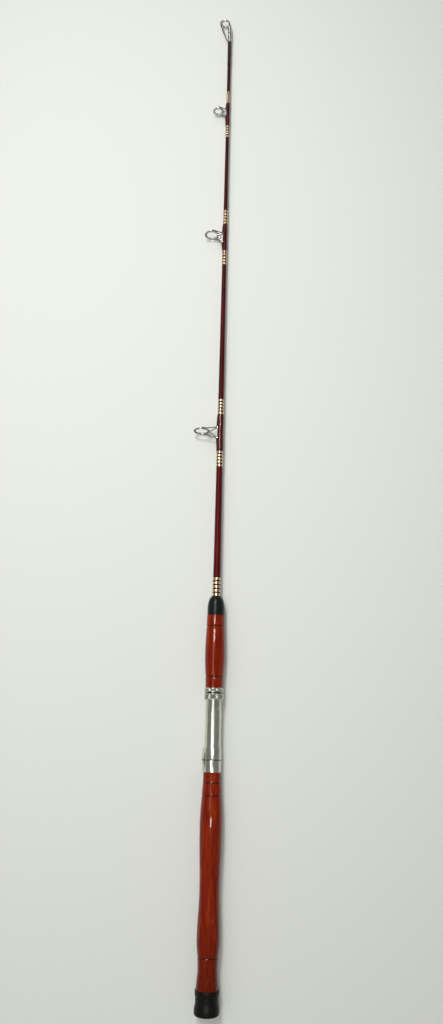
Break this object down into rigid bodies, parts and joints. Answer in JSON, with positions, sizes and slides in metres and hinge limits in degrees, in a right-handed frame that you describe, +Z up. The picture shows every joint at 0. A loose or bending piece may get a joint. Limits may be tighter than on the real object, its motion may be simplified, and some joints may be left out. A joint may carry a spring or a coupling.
{
  "type": "spinning rod",
  "caption": "Boat-style spinning rod: glass blank with bridged wire guides and tip-top, turned wood grips, rubber butt cap and a screw-locking metal reel seat.",
  "frame": {"origin": "centre of the butt cap's flat end face, on the rod's axis", "axes": "+Y along the rod towards its tip, -X towards the side that carries the guides and the hoods' domes, +Z up when the rod lies with its guides flat to one side"},
  "size_m": [0.0663, 1.829, 0.0376],
  "materials": {
    "rubber": "satin moulded rubber",
    "grip_wood": "stained hardwood under gloss varnish, grain lengthwise",
    "seat_metal": "polished plated metal",
    "pin_metal": "polished",
    "knurled_metal": "knurled, plated",
    "washer_fibre": "matte",
    "bush_fibre": "matte",
    "check_black": "satin black",
    "blank_maroon": "gloss varnish over maroon glass fibre",
    "banded_thread": "metallic thread bands between maroon thread, varnished",
    "foot_thread": "maroon thread under gloss varnish",
    "tip_thread": "dark thread under gloss varnish",
    "tube_metal": "plated",
    "guide_chrome": "polished plated wire"
  },
  "bodies": {
    "rod": {"butt_cap": "rubber", "rear_grip": "grip_wood", "seat_barrel": "seat_metal", "fixed_hood": "seat_metal", "hood_pin": "pin_metal", "rear_bush": "bush_fibre", "middle_bush": "bush_fibre", "front_bush": "bush_fibre", "fore_grip": "grip_wood", "winding_check": "check_black", "blank": "blank_maroon", "butt_wrap": "banded_thread", "stripper_ring": "guide_chrome", "stripper_front_leg": "guide_chrome", "stripper_rear_leg": "guide_chrome", "stripper_front_wrap": "foot_thread", "stripper_rear_wrap": "foot_thread", "stripper_front_trim": "banded_thread", "stripper_rear_trim": "banded_thread", "middle_ring": "guide_chrome", "middle_front_leg": "guide_chrome", "middle_rear_leg": "guide_chrome", "middle_front_wrap": "foot_thread", "middle_rear_wrap": "foot_thread", "middle_front_trim": "banded_thread", "middle_rear_trim": "banded_thread", "front_ring": "guide_chrome", "front_front_leg": "guide_chrome", "front_rear_leg": "guide_chrome", "front_front_wrap": "foot_thread", "front_rear_wrap": "foot_thread", "front_front_trim": "banded_thread", "front_rear_trim": "banded_thread", "tip_tube": "tube_metal", "tip_ring": "guide_chrome", "tip_stays": "guide_chrome", "tip_wrap": "tip_thread"},
    "sliding_hood": {"sliding_hood": "seat_metal"},
    "key_washer": {"key_washer": "washer_fibre"},
    "lock_nut": {"lock_nut": "knurled_metal"},
    "jam_nut": {"jam_nut": "knurled_metal"}
  },
  "joints": [
    {"name": "hood_slide", "type": "slide", "parent": "rod", "child": "sliding_hood", "axis": [0, 1, 0], "range_m": [0, 0.0605]},
    {"name": "washer_travel", "type": "slide", "parent": "rod", "child": "key_washer", "axis": [0, -1, 0], "range_m": [0, 0.0121]},
    {"name": "lock_nut_spin", "type": "hinge", "parent": "key_washer", "child": "lock_nut", "pos_m": [0, 0.4551, 0], "axis": [0, -1, 0], "range_deg": [0, 2700]},
    {"name": "jam_nut_spin", "type": "hinge", "parent": "key_washer", "child": "jam_nut", "pos_m": [0, 0.4655, 0], "axis": [0, -1, 0], "range_deg": [0, 2700]}
  ],
  "couplings": [
    {"joint": "washer_travel", "follows": "lock_nut_spin", "m_per_rad": 0.00025465},
    {"joint": "jam_nut_spin", "follows": "lock_nut_spin", "ratio": 1}
  ]
}
